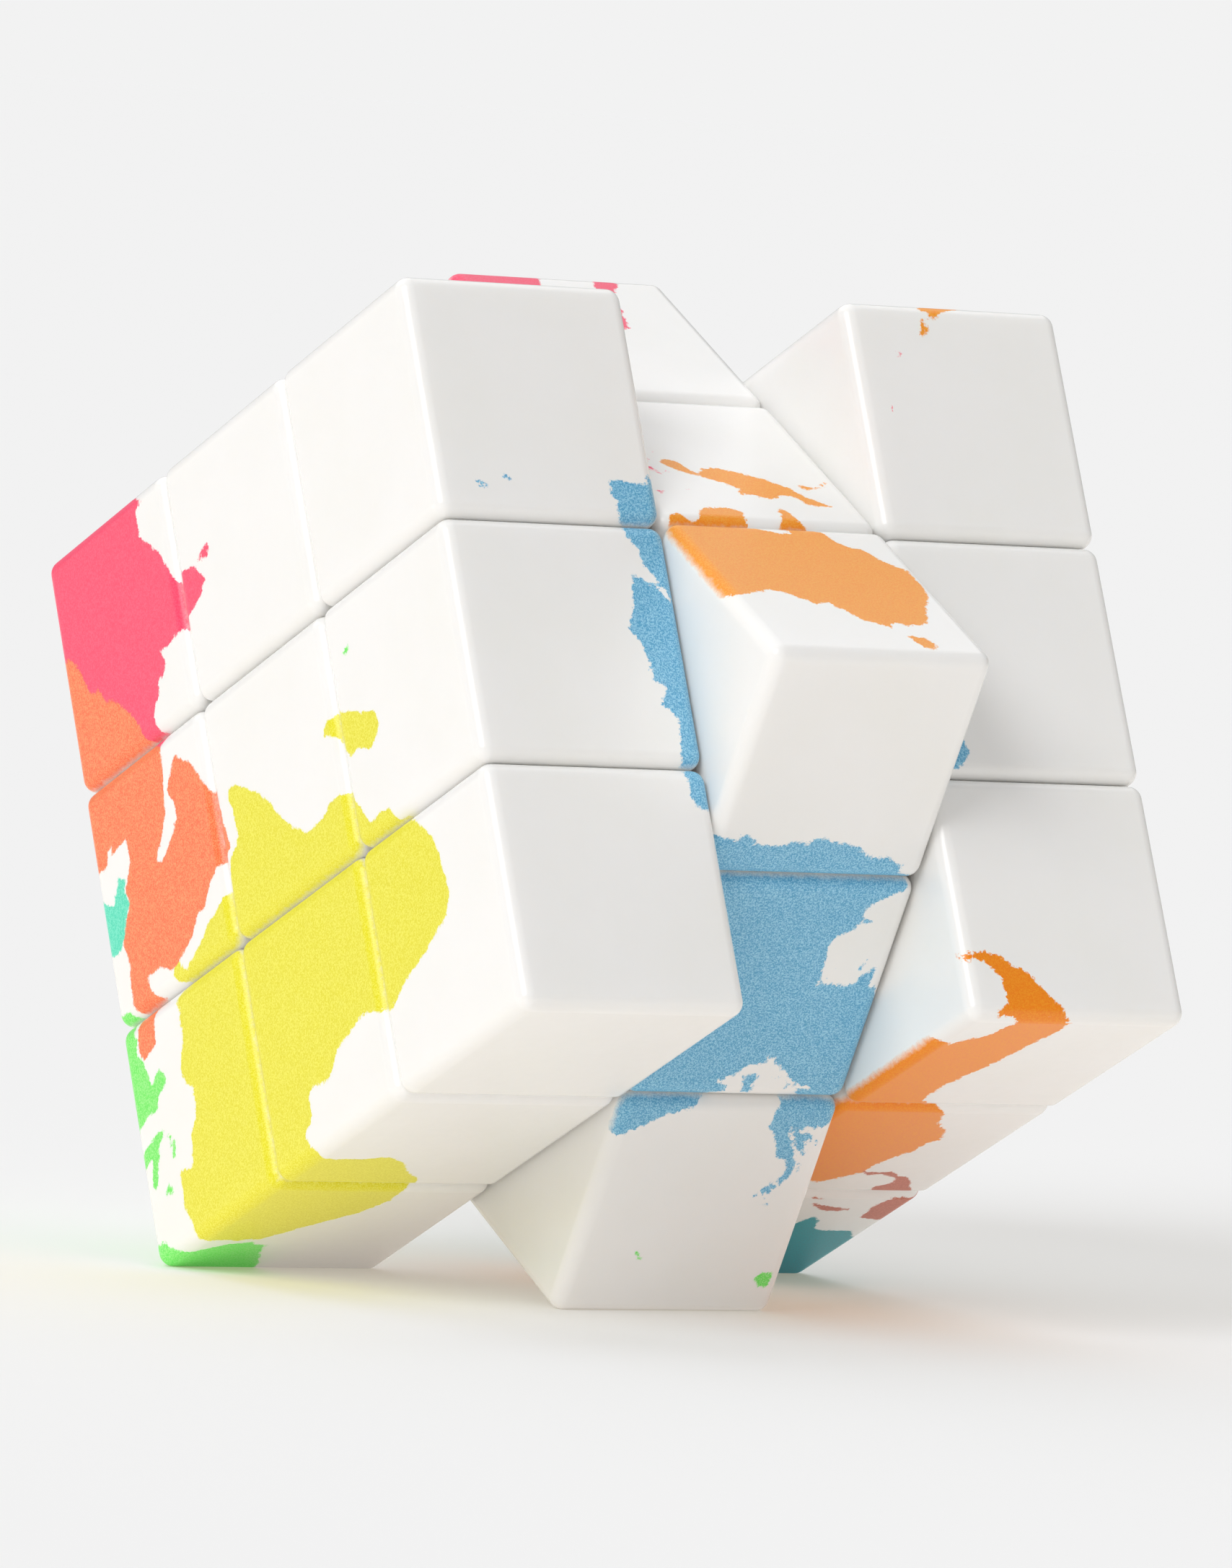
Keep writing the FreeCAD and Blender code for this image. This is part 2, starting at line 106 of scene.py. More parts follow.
MAP = {
    "africa": [
        [(49, 14.5), (48.5, 11.5), (45.5, 6.5), (42.5, 3), (39, 0.5), (36, -3), (34, -6.5), (34.5, -11),
         (35.5, -13), (36, -16.5), (35.5, -18.5), (32.5, -20.5), (29, -22), (29.5, -24.5), (29, -27),
         (27, -27.5), (26.5, -29.5), (25, -31), (21.5, -33), (18, -33), (14, -32.5), (12, -30.5),
         (11, -27.5), (9.5, -24), (9, -21), (7.5, -17.5), (7, -15.5), (8.5, -12), (8.5, -10), (8, -7.5),
         (7, -3.5), (5.5, -1.5), (5, -0.5), (5.5, 3), (5, 4.5), (3, 4), (2, 6), (0, 4.5), (-2, 5.5),
         (-4.5, 5.5), (-7, 5), (-9, 6.5), (-11, 9.5), (-14, 13.5), (-14, 21), (-12.5, 24), (-9.5, 26.5),
         (-7.5, 28.5), (-5.5, 30), (-1.5, 29), (1, 29), (3.5, 31), (6.5, 32), (6, 29.5), (9, 30),
         (10.5, 29), (13.5, 29.5), (14.5, 31), (16.5, 32), (20, 31.5), (23.5, 32), (25, 32.5), (26, 31),
         (27.5, 32.5), (29.5, 32.5), (30, 31.5), (28, 30), (30, 26.5), (32, 24), (32.5, 22), (34, 19.5),
         (35, 17.5), (38.5, 16), (39.5, 14.5), (41, 13), (45, 13.5)],
        [(46, -14.5), (47.5, -16.5), (48, -18.5), (47, -21), (45, -25), (44, -28), (41.5, -28.5),
         (40, -27), (39, -25.5), (40.5, -23), (40, -20.5), (42, -19.5), (44.5, -17.5)],
    ],
    "orient": [
        [(62, 28), (58.5, 28.5), (55, 29.5), (52, 30), (49.5, 31.5), (47.5, 33), (46.5, 33.5),
         (45.5, 32.5), (47, 31), (49, 28.5), (49.5, 29), (50, 27.5), (52.5, 27.5), (54.5, 28.5),
         (55.5, 28.5), (58, 26.5), (59.5, 25), (57.5, 23.5), (56.5, 22), (53.5, 20.5), (50.5, 19),
         (48, 17), (44, 16.5), (40.5, 15.5), (39.5, 17), (38.5, 17.5), (39, 20), (36.5, 23),
         (34.5, 24.5), (34.5, 26), (32.5, 27.5), (30.5, 30), (30, 31.5), (29.5, 33), (31, 35.5),
         (31, 38), (29, 37.5), (26.5, 36), (26, 37), (24, 37), (21.5, 37), (20.5, 39), (22, 40),
         (24, 40), (27, 40.5), (31, 41), (35, 41), (38, 42), (39.5, 41.5), (43, 40), (44, 40),
         (45.5, 40.5), (47, 39.5), (49.5, 38.5), (53, 38.5), (52.5, 40.5), (52, 41.5), (53.5, 41),
         (53, 42), (51, 42.5), (51, 46), (54, 47.5), (53, 50), (61, 51), (70, 54), (78, 52), (86, 48.5),
         (81, 45), (80, 42), (81, 36.5), (78, 36), (76, 36), (75.5, 35), (73.5, 34.5),
         (73.5, 33.5), (70, 31), (68, 30), (65, 29.5), (63.5, 29)],
    ],
    "asia": [
        [(89, 18), (88.5, 19.5), (86, 20), (85, 19), (83.5, 17.5), (81.5, 16.5), (80, 16), (80, 13.5),
         (79.5, 11), (78.5, 10), (77.5, 9), (76, 11), (75, 14), (74.5, 16), (73.5, 20.5), (73.5, 23),
         (72, 22), (70, 24), (71, 24), (68.5, 25.5), (66.5, 27.5), (64, 27.5), (63, 26.5), (62, 28),
         (63, 30), (64.5, 30.5), (67.5, 31), (69.5, 32), (72.5, 34), (72.5, 35), (75, 35.5),
         (74.5, 36.5), (76, 37), (78, 37), (80.5, 37.5), (80, 42), (81, 45), (86, 48.5), (97, 50),
         (107, 50), (117, 50), (121, 53), (127, 50), (131, 47.5), (134, 48.5), (131, 43), (127.5, 40),
         (129.5, 36.5), (126.5, 34.5), (125, 38), (121.5, 39.5), (118, 39), (122, 37), (119.5, 35),
         (122, 31), (120, 26), (116, 23), (110.5, 21), (108, 21.5), (106, 19), (109, 13), (107, 10.5),
         (105, 8.5), (105, 10.5), (101, 13), (99.5, 10), (101, 7), (103.5, 3.5), (104, 1.5), (101.5, 3),
         (100.5, 6), (98.5, 8.5), (98.5, 12), (97.5, 16.5), (94.5, 16), (94, 18.5), (91.5, 22.5)],
        [(80, 10), (81, 7), (80, 6.5), (79.5, 8)],
        [(130, 33.5), (132, 35.5), (136, 36), (139, 38.5), (140.5, 41.5), (142, 39.5), (140.5, 35.5),
         (136.5, 34.5), (131.5, 31.5)],
        [(140.5, 42.5), (142, 45.5), (145.5, 43.5), (143, 42)],
        [(120.5, 18.5), (122, 18.5), (122, 14), (124, 12.5), (126, 8.5), (125.5, 6), (122, 7.5),
         (121, 12), (120, 15.5)],
        [(109, 1.5), (111.5, 2.5), (114, 4.5), (117, 7), (119, 5), (117.5, 1), (116, -3.5),
         (113.5, -3.5), (110, -2)],
        [(95.5, 5.5), (98, 4.5), (103.5, -1), (106, -3), (105.5, -6), (102, -4), (98.5, 0.5)],
        [(105.5, -6.5), (108.5, -6.5), (114.5, -7.5), (114.5, -8.5), (108, -8)],
        [(120, 0.5), (125, 1.5), (121, 0), (123, -1), (121.5, -2), (123, -5), (121, -3), (120, -5.5),
         (119, -3)],
        [(121, 25), (122, 24.5), (121, 22), (120, 23)],
        [(108.5, 19.5), (111, 20), (110, 18)],
        [(123.5, -3.5), (125, -4.5), (124, -4.5)],
        [(119.5, -10), (121, -10), (120.5, -10.5)],
        [(124.5, -9.5), (125.5, -9), (125.5, -9.5)],
        [(164, -45.5), (164.5, -46), (165, -45.5)],
        [(166.5, -50.5), (167.5, -51), (166.5, -51)],
    ],
    "russia": [
        [(44.5, 42.5), (48, 46), (51, 46), (54, 47.5), (53, 50), (61, 51), (70, 54), (78, 52),
         (86, 48.5), (97, 50), (107, 50), (117, 50), (121, 53), (127, 50), (131, 47.5), (134, 48.5),
         (133, 46), (136, 47), (140, 50), (141, 53), (135.5, 54.5), (143, 59.5), (155, 59.5), (163, 62),
         (156, 57), (157, 51), (162, 56), (163, 59.5), (170, 60), (178, 62.5), (180, 65), (-172, 65),
         (-175, 67.5), (170, 69.5), (160, 70), (150, 71.5), (140, 72.5), (130, 71.5), (113, 74),
         (104, 77.5), (87, 75), (80, 73), (73, 71.5), (68, 68.5), (60, 69.5), (54, 68.5), (46, 68),
         (41, 66.5), (34, 69), (30, 69), (30, 60), (28, 57), (32, 52), (39, 47.5), (37, 42.5), (38, 42),
         (39.5, 41.5), (41.5, 41), (43, 40), (44, 40), (45.5, 40.5), (47, 40), (48, 41), (46, 42)],
        [(52, 71.5), (57, 74), (67, 76.5), (60, 76.5), (53, 73.5)],
        [(142, 54), (143.5, 50), (143, 46.5), (142, 48)],
    ],
    "europe": [
        [(24, 40.5), (22, 40.5), (21, 39.5), (20, 39), (18, 38), (17, 37.5), (18.5, 36.5), (17.5, 35.5),
         (16, 35), (15.5, 36.5), (14, 36.5), (14, 38), (12, 41), (9, 43.5), (8, 43.5), (11.5, 36.5),
         (11.5, 35.5), (10.5, 34), (9.5, 33), (8, 33), (8, 33.5), (9, 33.5), (11, 35), (10.5, 36),
         (8.5, 36), (6.5, 36), (6.5, 36.5), (8, 37), (9.5, 37), (7, 41.5), (4.5, 41), (3, 42.5),
         (2, 38), (1.5, 34), (0.5, 32.5), (-1, 31.5), (-3, 30.5), (-5, 30.5), (-6, 31.5), (-7, 32),
         (-7.5, 34), (-9, 37), (-10, 41.5), (-9, 43.5), (-2, 43), (-2, 46.5), (-5, 48), (1, 49.5),
         (4, 52), (8, 53.5), (8, 57), (10.5, 57.5), (10, 54.5), (14, 54), (19, 54.5), (21, 56),
         (24, 58.5), (30, 60), (28, 57), (32, 52), (39, 47.5), (35, 46), (31, 46), (28.5, 43.5),
         (28, 41.5)],
        [(5, 58.5), (10, 59), (12.5, 56), (16.5, 57), (19, 60.5), (17.5, 62), (22, 65.5), (25, 65),
         (21.5, 61), (28, 60.5), (30, 62), (30, 69), (25, 71), (17, 69), (12, 65), (5, 62)],
        [(-5.5, 50), (1, 51), (1.5, 53), (-1.5, 55), (-2, 57.5), (-5, 58.5), (-5.5, 56), (-3, 54.5),
         (-4.5, 53), (-3, 51.5)],
        [(-10, 52), (-6.5, 52), (-6, 54.5), (-8.5, 55), (-10, 54)],
        [(-24, 65.5), (-22, 64), (-18.5, 63.5), (-14, 65), (-16, 66.5), (-20, 66)],
        [(5.5, 34.5), (6, 34), (5.5, 33), (5, 33), (5, 33.5)],
        [(-34.5, -50.5), (-35.5, -51), (-37, -50), (-36, -50)],
        [(-60.5, -47.5), (-62, -48), (-64, -47.5), (-63, -46.5), (-61.5, -46.5)],
        [(55.5, -22.5), (56, -24.5), (54.5, -23.5)],
    ],
    "antarctica": [
        [(-7.5, -60), (-4.5, -59.5), (-1, -60), (2.5, -61.5), (6.5, -62), (9, -63.5), (13.5, -65),
         (17, -66), (21.5, -65.5), (23.5, -64.5), (28, -66.5), (30.5, -66.5), (32, -65.5), (38, -65.5),
         (45, -65), (48.5, -63.5), (54, -64), (65.5, -64), (68, -63.5), (67.5, -65), (66, -66),
         (67.5, -66.5), (63.5, -69.5), (64.5, -69.5), (66.5, -68.5), (71, -65.5), (76, -63.5),
         (78, -61.5), (83, -59.5), (86.5, -57.5), (88, -57), (90, -57.5), (95.5, -60), (97.5, -59.5),
         (101.5, -62), (104.5, -63), (107, -62.5), (110.5, -64), (109, -64.5), (112, -65), (119.5, -66),
         (124, -65.5), (129, -66.5), (130, -66), (135.5, -65.5), (143, -66), (150.5, -66), (151, -66.5),
         (155.5, -66.5), (161.5, -66), (163, -65.5), (169.5, -65.5), (170.5, -66), (174, -65.5),
         (176.5, -65), (178.5, -66.5), (176, -69.5), (173.5, -72), (174, -73), (179.5, -75.5),
         (175.5, -77.5), (176.5, -79), (-178, -80.5), (-168.5, -81.5), (-155.5, -82), (-149.5, -82.5),
         (-138, -83), (-146, -82), (-141.5, -81), (-143.5, -80.5), (-139, -79.5), (-140, -78.5),
         (-136.5, -78), (-140, -77.5), (-137.5, -77), (-144.5, -76), (-150.5, -73.5), (-147.5, -73.5),
         (-142.5, -74), (-137, -74), (-139.5, -73), (-125, -70.5), (-112, -65), (-106, -61.5),
         (-99, -62), (-92, -63), (-83, -63), (-79.5, -63.5), (-72.5, -65), (-70.5, -65), (-69.5, -64),
         (-70, -62), (-70, -60), (-68.5, -58.5), (-65.5, -57.5), (-62, -57), (-60, -57), (-62, -58),
         (-65, -58), (-68, -59.5), (-68.5, -60.5), (-65, -62), (-64.5, -64), (-63, -66.5), (-65, -68.5),
         (-70.5, -69.5), (-75.5, -69.5), (-74, -70.5), (-76, -71), (-80.5, -70), (-80.5, -70.5),
         (-75.5, -72), (-72.5, -74), (-66.5, -76), (-63, -78), (-60.5, -78.5), (-59, -77.5), (-50, -77),
         (-47, -77.5), (-42.5, -76), (-31, -74.5), (-26.5, -74), (-37, -73.5), (-37, -72.5),
         (-31, -71.5), (-32, -71), (-26.5, -69), (-20.5, -67.5), (-17, -66), (-12.5, -62.5),
         (-9.5, -60.5)],
        [(-45, -75), (-50, -75.5), (-56.5, -75.5), (-52.5, -74.5), (-51.5, -72.5), (-47, -72.5),
         (-45.5, -74)],
        [(-61.5, -75), (-66.5, -74.5), (-69, -73), (-64.5, -74.5)],
        [(-71, -72.5), (-72, -72), (-69, -72)],
        [(-71, -64.5), (-75, -63.5), (-77, -62.5), (-73.5, -62.5), (-74, -60.5), (-72.5, -60.5),
         (-71, -62.5)],
        [(-70.5, -59.5), (-71.5, -59.5), (-70.5, -58.5)],
        [(-76, -61.5), (-77.5, -61.5), (-76.5, -60.5)],
        [(-57.5, -57), (-59.5, -57), (-59.5, -57.5)],
        [(-60.5, -56), (-62.5, -55.5), (-62, -56)],
        [(-156, -75), (-149.5, -76.5), (-152, -75.5)],
        [(-157.5, -80), (-146, -81.5), (-150, -80.5)],
        [(178.5, -74), (-178.5, -73), (-179, -73.5)],
        [(70.5, -45.5), (71.5, -46), (71, -47)],
        [(74.5, -47.5), (75, -48), (74.5, -48.5)],
    ],
    "oceania": [
        [(114, -22), (116.5, -19), (117.5, -18), (118.5, -16.5), (120, -16), (121.5, -17.5), (123, -17),
         (124.5, -15), (126, -14.5), (129.5, -14.5), (130.5, -15), (132, -15), (131, -16), (131, -19.5),
         (134.5, -21), (136.5, -21), (137, -18.5), (138, -15), (138.5, -13.5), (139.5, -14.5),
         (140, -17), (141.5, -18), (141.5, -20), (143, -20.5), (143.5, -22.5), (145.5, -23.5),
         (146.5, -23.5), (148.5, -26), (150.5, -27.5), (151.5, -28), (151.5, -32.5), (149.5, -35.5),
         (147.5, -38), (147, -39), (145, -39.5), (143, -40), (141, -39.5), (140, -40.5), (138, -40),
         (136, -39.5), (134.5, -38), (133.5, -37.5), (132.5, -36.5), (131.5, -36.5), (130, -37),
         (129, -36), (126, -34.5), (124, -34), (120, -34.5), (117.5, -34.5), (114.5, -33), (114.5, -29),
         (113, -26)],
        [(141, -41.5), (143, -42), (144.5, -41.5), (145, -42.5), (144.5, -43.5), (142.5, -43.5)],
        [(124, -1), (126, -0.5), (127.5, -1), (128.5, -3.5), (129.5, -4.5), (131, -3), (133, -2.5),
         (136.5, -3.5), (140.5, -5.5), (144, -8), (145, -10), (148.5, -12.5), (144.5, -12.5),
         (143, -10), (140.5, -10), (140, -11), (137, -11), (135.5, -10), (134, -10.5), (133.5, -9.5),
         (134.5, -8.5), (132.5, -7), (129.5, -5.5), (127.5, -4.5), (125, -2.5)],
        [(145.5, -6.5), (148.5, -7), (151, -5), (149.5, -7), (146.5, -8)],
        [(129, -7), (129.5, -7.5), (128.5, -8.5)],
        [(166, -42), (167.5, -42.5), (166.5, -43.5)],
        [(172.5, -29), (174.5, -31.5), (177.5, -32.5), (176, -34.5), (173.5, -36.5), (172.5, -34.5)],
        [(171, -36), (172.5, -37), (170, -39), (167.5, -41.5), (165, -41), (167, -39)],
    ],
    "south_america": [
        [(-76.5, 11.5), (-78.5, 9.5), (-80, 7.5), (-80, 5), (-81, 1.5), (-82, -0.5), (-82, -3),
         (-83, -4), (-82.5, -6.5), (-80, -10.5), (-79, -14), (-76, -17), (-74, -18.5), (-73.5, -21),
         (-74, -25), (-75.5, -29), (-76.5, -32.5), (-77, -35), (-78, -38), (-77.5, -40), (-77, -42),
         (-76, -44.5), (-74, -46), (-71.5, -47.5), (-68.5, -48), (-67, -47.5), (-69, -47.5),
         (-70.5, -46.5), (-71.5, -45), (-70, -43.5), (-68, -43), (-68, -42.5), (-70.5, -42), (-71, -41),
         (-69.5, -38.5), (-69, -38), (-67, -38), (-66.5, -37), (-64, -37.5), (-61.5, -36.5),
         (-60, -34.5), (-56, -30.5), (-53.5, -26), (-48, -23.5), (-44.5, -20), (-43.5, -13), (-40, -8),
         (-41, -5), (-46, -2.5), (-53, 0), (-56, 5), (-62, 8.5), (-67, 10.5), (-72, 12)],
    ],
    "central_america": [
        [(-79, 7), (-81.5, 7.5), (-83, 7), (-86, 9), (-87, 11), (-88, 12.5), (-87.5, 13.5), (-85.5, 14),
         (-84, 13.5), (-83.5, 12), (-85, 10.5), (-84.5, 9), (-82.5, 8), (-81, 8.5)],
        [(-86.5, 18), (-87, 16), (-87.5, 15), (-92, 14), (-97, 15.5), (-105, 19.5), (-110, 25),
         (-114, 31), (-106.5, 32), (-101, 29.5), (-97.5, 26), (-97.5, 22), (-95, 18.5), (-91, 18.5),
         (-90, 21), (-87, 21)],
        [(-79.5, 18.5), (-81.5, 19), (-84.5, 19), (-84.5, 19.5), (-82.5, 20.5), (-80, 19.5)],
        [(-78.5, 17), (-80, 17), (-80, 17.5)],
        [(-74, 20), (-69, 19), (-71, 18), (-74.5, 18.5)],
    ],
    "north_america": [
        [(-81.5, 23.5), (-82, 22.5), (-83, 23), (-84, 25.5), (-86.5, 25), (-88, 24.5), (-91, 28),
         (-95, 28.5), (-97.5, 26), (-101, 29.5), (-106.5, 32), (-114, 31.5), (-117, 32.5),
         (-120.5, 34.5), (-124, 40), (-124, 47), (-128, 51), (-133, 56), (-140, 60), (-148, 60.5),
         (-153, 59), (-163, 55), (-157, 58.5), (-163, 60), (-165, 64), (-168, 65.5), (-162, 66.5),
         (-166, 68.5), (-156, 71.5), (-141, 69.5), (-128, 70.5), (-115, 68.5), (-108, 68), (-96, 68),
         (-94, 72), (-86, 69.5), (-82, 67), (-94, 60), (-92, 57), (-82.5, 55), (-80, 51.5), (-78.5, 56),
         (-77, 61), (-70, 61.5), (-65, 59), (-60, 55), (-56, 52), (-66, 50), (-64.5, 47), (-60.5, 46),
         (-66, 44), (-70.5, 43), (-70.5, 41.5), (-75, 39), (-76, 35.5), (-81, 31.5), (-80.5, 26)],
        [(-44, 60), (-51, 63), (-54, 68), (-57, 74), (-70, 77), (-62, 81.5), (-35, 83.5), (-14, 82),
         (-20, 75), (-24, 70.5), (-37, 66)],
        [(-66, 62), (-73, 65), (-70, 68), (-80, 73.5), (-72, 72), (-62, 66.5)],
        [(-116, 70), (-104, 69), (-105, 73), (-117, 73)],
        [(-64, 82), (-80, 77), (-90, 77), (-92, 81), (-80, 83)],
        [(-56, 51.5), (-59, 48), (-53, 47), (-54, 49.5)],
    ],
}


def toward(longitude, latitude):
    """Unit vector from the cube's centre to a place on the map."""
    turn, rise = math.radians(longitude - LEFT_MERIDIAN), math.radians(latitude)
    return np.array((-math.cos(turn) * math.cos(rise), math.sin(rise), math.sin(turn) * math.cos(rise)))


def inside_distance(points, outline):
    """How far each point lies inside an outline, in mm on the cube's surface."""
    ends = np.array([toward(*place) for place in outline])
    middle = ends.mean(axis=0)
    middle /= np.linalg.norm(middle)
    reach = np.arccos(np.clip(ends @ middle, -1, 1)).max() + FAR / OUTER
    size = np.linalg.norm(points, axis=1)
    heading = points / size[:, None]
    result = np.full(len(points), -FAR)
    close = heading @ middle > math.cos(min(reach, math.pi))
    if not close.any():
        return result
    heading = heading[close]
    winding = np.zeros(len(heading))
    nearest = np.full(len(heading), math.pi)
    for a, b in zip(np.roll(ends, 1, axis=0), ends):
        pole = np.cross(a, b)
        to_a, to_b = heading @ a, heading @ b
        winding += np.arctan2(heading @ pole, a @ b - to_a * to_b)
        pole /= np.linalg.norm(pole)
        beside = (heading @ np.cross(pole, a) > 0) & (heading @ np.cross(b, pole) > 0)
        to_end = np.arccos(np.clip(np.maximum(to_a, to_b), -1, 1))
        gap = np.where(beside, np.abs(np.arcsin(np.clip(heading @ pole, -1, 1))), to_end)
        nearest = np.minimum(nearest, gap)
    sign = np.where(np.abs(winding) > math.pi, 1, -1)
    result[close] = np.clip(sign * nearest * size[close], -FAR, FAR)
    return result


# ---------------------------------------------------------------- materials


class Graph:
    """Short ways to add nodes to a material."""

    def __init__(self, name):
        self.material = bpy.data.materials.new(name)
        self.material.use_nodes = True
        self.tree = self.material.node_tree
        self.shader = self.tree.nodes["Principled BSDF"]
        self.place = self.add("ShaderNodeTexCoord").outputs["Object"]

    def add(self, kind, **settings):
        node = self.tree.nodes.new(kind)
        for key, value in settings.items():
            setattr(node, key, value)
        return node

    def link(self, source, target):
        self.tree.links.new(source, target)

    def put(self, value, socket):
        """Give a socket a link or a fixed value."""
        if isinstance(value, bpy.types.NodeSocket):
            self.link(value, socket)
        else:
            socket.default_value = value

    def math(self, operation, *values):
        node = self.add("ShaderNodeMath", operation=operation)
        for value, socket in zip(values, node.inputs):
            self.put(value, socket)
        return node.outputs[0]

    def noise(self, size, detail=2.0, roughness=0.5, distortion=0.0):
        """Noise with features about size millimetres across, in 0 to 1."""
        node = self.add("ShaderNodeTexNoise")
        self.link(self.place, node.inputs["Vector"])
        node.inputs["Scale"].default_value = 1 / (size * MM)
        node.inputs["Detail"].default_value = detail
        node.inputs["Roughness"].default_value = roughness
        node.inputs["Distortion"].default_value = distortion
        return node.outputs["Fac"]

    def remap(self, value, low, high, to_low=0.0, to_high=1.0):
        """The value stretched from low..high to to_low..to_high, and held within them."""
        node = self.add("ShaderNodeMapRange", clamp=True)
        for number, item in enumerate((value, low, high, to_low, to_high)):
            self.put(item, node.inputs[number])
        return node.outputs[0]

    def mix(self, factor, a, b):
        """Colour a where the factor is 0, colour b where it is 1."""
        node = self.add("ShaderNodeMix", data_type="RGBA")
        self.put(factor, node.inputs[0])
        self.put(a, node.inputs[6])
        self.put(b, node.inputs[7])
        return node.outputs[2]

    def bump(self, height, depth):
        """Relief of the given depth in millimetres for a height in 0 to 1."""
        node = self.add("ShaderNodeBump")
        node.inputs["Strength"].default_value = 1.0
        node.inputs["Distance"].default_value = depth * MM
        self.link(height, node.inputs["Height"])
        self.link(node.outputs["Normal"], self.shader.inputs["Normal"])

    def attribute(self, name):
        """A value that the mesh holds for each of its points."""
        return self.add("ShaderNodeAttribute", attribute_name=name).outputs["Fac"]


def rgb(red, green, blue):
    """A colour from the usual 0 to 255 values, as a linear one."""
    linear = [c / 12.92 if c <= 0.04045 else ((c + 0.055) / 1.055) ** 2.4
              for c in (red / 255, green / 255, blue / 255)]
    return (*linear, 1.0)


WHITE = rgb(250, 249, 247)
CLOUD = rgb(247, 246, 243)      # the white's faint shade

# Ink, its lighter grain, and the width of the ragged edge in millimetres.
INKS = {
    "africa": (rgb(231, 223, 16), rgb(244, 239, 88), 0.8),
    "orient": (rgb(254, 112, 62), rgb(255, 156, 104), 0.7),
    "asia": (rgb(255, 66, 108), rgb(255, 96, 128), 0.9),
    "russia": (rgb(66, 222, 186), rgb(126, 236, 208), 0.8),
    "europe": (rgb(106, 238, 92), rgb(160, 246, 142), 0.8),
    "antarctica": (rgb(90, 168, 210), rgb(160, 214, 238), 1.1),
    "oceania": (rgb(250, 150, 20), rgb(252, 172, 62), 0.9),
    "south_america": (rgb(247, 136, 0), rgb(250, 156, 24), 1.2),
    "central_america": (rgb(190, 90, 62), rgb(208, 124, 98), 0.8),
    "north_america": (rgb(0, 144, 156), rgb(34, 164, 174), 0.8),
}
# The ink thins out between these depths on the edges, mm.
FULL_PRINT = 0.4
PRINT_END = 1.0

# Noise patterns of the shells, their sizes in millimetres.
CLOUDS = {"size": 9, "detail": 3}
TEARS = {"size": 1.3, "detail": 6, "roughness": 0.65}
FRAYS = {"size": 0.35, "detail": 4, "roughness": 0.6, "distortion": 1.0}
RUBS = {"size": 0.5, "detail": 4, "roughness": 0.6}
GRAIN = {"size": 0.12, "detail": 2, "roughness": 0.6}
SHEEN = {"size": 0.8, "detail": 3}
MOULD = {"size": 0.6, "detail": 2}

FRAY_SHARE = 0.7        # of the ragged width
RUB_DEPTH = 0.6         # how far rubbing moves the end of the ink, mm
COAST = 0.06            # half width of the ink's soft edge, mm
GRAIN_FROM = 0.42       # noise value of pure ink
GRAIN_TO = 0.6          # noise value of pure light grain
PLASTIC_ROUGHNESS = (0.2, 0.26)
INK_ROUGHNESS = (0.3, 0.38)
MOULD_SHARE = 0.3       # of the relief
GRAIN_HEIGHT = 0.7      # of the ink's thickness, in its light grain
INK_THICKNESS = 0.004   # mm


def around_zero(g, pattern):
    """Noise from -0.5 to 0.5."""
    return g.math("SUBTRACT", g.noise(**pattern), 0.5)


def shell_material():
    """White moulded plastic with the map printed on its outer faces."""
    g = Graph("shell_plastic")
    colour = g.mix(g.remap(g.noise(**CLOUDS), 0.3, 0.7), WHITE, CLOUD)
    torn = around_zero(g, TEARS)
    frayed = around_zero(g, FRAYS)
    edge = g.math("ADD", torn, g.math("MULTIPLY", frayed, FRAY_SHARE))
    rub = g.math("MULTIPLY", around_zero(g, RUBS), RUB_DEPTH)
    outer = g.remap(g.math("ADD", g.attribute("depth"), rub), PRINT_END, FULL_PRINT)
    grain = g.remap(g.noise(**GRAIN), GRAIN_FROM, GRAIN_TO)
    inked = None
    for name, (ink, light, ragged) in INKS.items():
        reach = g.math("ADD", g.attribute(name), g.math("MULTIPLY", edge, ragged))
        covered = g.math("MULTIPLY", g.remap(reach, -COAST, COAST), outer)
        colour = g.mix(covered, colour, g.mix(grain, ink, light))
        inked = covered if inked is None else g.math("MAXIMUM", inked, covered)
    g.link(colour, g.shader.inputs["Base Color"])
    smooth = g.remap(g.noise(**SHEEN), 0.2, 0.8, *PLASTIC_ROUGHNESS)
    matt = g.remap(grain, 0, 1, *INK_ROUGHNESS)
    g.link(g.remap(inked, 0, 1, smooth, matt), g.shader.inputs["Roughness"])
    mould = g.math("MULTIPLY", g.noise(**MOULD), MOULD_SHARE)
    raised = g.math("MULTIPLY", inked, g.remap(grain, 0, 1, 1, GRAIN_HEIGHT))
    g.bump(g.math("ADD", mould, raised), INK_THICKNESS)
    g.shader.inputs["IOR"].default_value = 1.5
    g.shader.inputs["Subsurface Weight"].default_value = 0.45
    g.shader.inputs["Subsurface Radius"].default_value = (1.0, 0.95, 0.9)
    g.shader.inputs["Subsurface Scale"].default_value = 1.2 * MM
    return g.material


# Noise patterns of the parts inside, their sizes in millimetres.
MOTTLE = {"size": 4, "detail": 3}
FLOW = {"size": 12, "distortion": 1.5}
POLISH = {"size": 0.5, "detail": 3}
TEXTURE = {"size": 0.25, "detail": 3}
LINES = {"size": 0.2, "detail": 4}

FLOW_SHARE = 0.4        # how strongly the flow marks show
TEXTURE_DEPTH = 0.015   # mm
LINE_DEPTH = 0.006      # mm
TARNISH = 0.8           # brightness of the metal's dull lines


